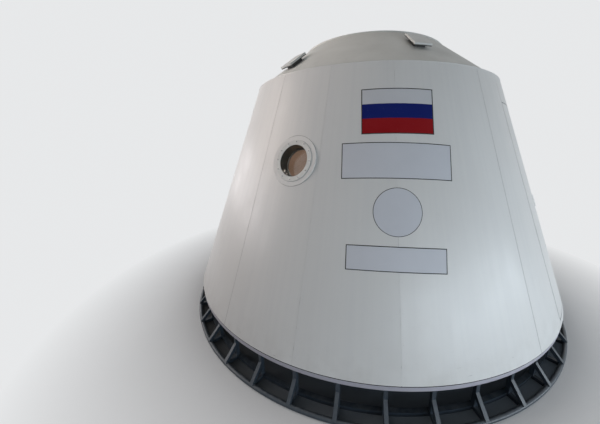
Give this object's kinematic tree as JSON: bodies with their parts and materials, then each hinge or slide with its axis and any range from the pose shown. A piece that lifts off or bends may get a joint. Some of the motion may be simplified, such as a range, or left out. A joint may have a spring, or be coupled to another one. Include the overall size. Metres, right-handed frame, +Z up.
{
  "type": "full-size re-entry capsule mock-up on a floor stand",
  "caption": "Full-size mock-up of a cone-shaped re-entry capsule with a side door, a bolted porthole and a top hatch, standing on a low ring-shaped steel floor stand.",
  "frame": {"origin": "centre of the stand's footprint on the floor, under the capsule's axis", "axes": "+Z up along the capsule's axis, -Y towards the front with the sign plates, +X to the right seen from the front"},
  "size_m": [4.52, 4.52, 3.0129],
  "materials": {
    "shell_paint": "off-white satin paint",
    "upper_paint": "pale grey satin paint",
    "rim_paint": "pale lavender-grey satin paint",
    "stand_paint": "dark blue-grey gloss paint on steel tube",
    "floor_panel": "plywood deck with a clear coat",
    "inner_frame": "beige satin paint",
    "hinge_steel": "brushed steel",
    "porthole_metal": "pale grey satin paint on turned metal",
    "porthole_glass": "clear glass"
  },
  "bodies": {
    "capsule": {"cabin_floor": "floor_panel", "door_frame": "inner_frame", "door_header_panel": "shell_paint", "door_hinges": "hinge_steel", "door_side_panel": "shell_paint", "door_sill_panel": "shell_paint", "floor_joists": "stand_paint", "front_left_panel": "shell_paint", "front_right_panel": "shell_paint", "hatch_coaming": "upper_paint", "hatch_hinge_lugs": "hinge_steel", "inner_floor_hoop": "stand_paint", "left_front_panel": "shell_paint", "left_middle_panel": "shell_paint", "left_rear_panel": "shell_paint", "lower_ring_frame": "inner_frame", "outer_floor_hoop": "stand_paint", "panel_battens": "inner_frame", "porthole_collar": "shell_paint", "porthole_flange": "porthole_metal", "porthole_glass": "porthole_glass", "porthole_panel": "shell_paint", "raised_cover_front_left": "upper_paint", "raised_cover_front_right": "upper_paint", "raised_cover_rear_left": "upper_paint", "raised_cover_rear_right": "upper_paint", "rear_inner_left_panel": "shell_paint", "rear_inner_right_panel": "shell_paint", "rear_left_panel": "shell_paint", "rear_middle_panel": "shell_paint", "rear_right_panel": "shell_paint", "right_rear_panel": "shell_paint", "rim_band": "rim_paint", "shoulder_ring": "shell_paint", "stand_frames": "stand_paint", "stand_top_ring": "stand_paint", "top_deck": "upper_paint", "upper_cone": "upper_paint", "upper_ring_frame": "inner_frame"},
    "side_door": {"door_hinge_leaves": "hinge_steel", "door_pull": "hinge_steel", "side_door": "shell_paint"},
    "hatch_lid": {"hatch_lid": "upper_paint", "hatch_lid_arms": "hinge_steel", "hatch_lid_pull": "hinge_steel"}
  },
  "joints": [
    {"name": "side_door_hinge", "type": "hinge", "parent": "capsule", "child": "side_door", "pos_m": [1.75353, -0.60379, 1.26479], "axis": [-0.3234, 0.1114, 0.9397], "range_deg": [0, 100]},
    {"name": "hatch_lid_hinge", "type": "hinge", "parent": "capsule", "child": "hatch_lid", "pos_m": [0, 0.497, 2.9313], "axis": [-1, 0, 0], "range_deg": [0, 105]}
  ]
}
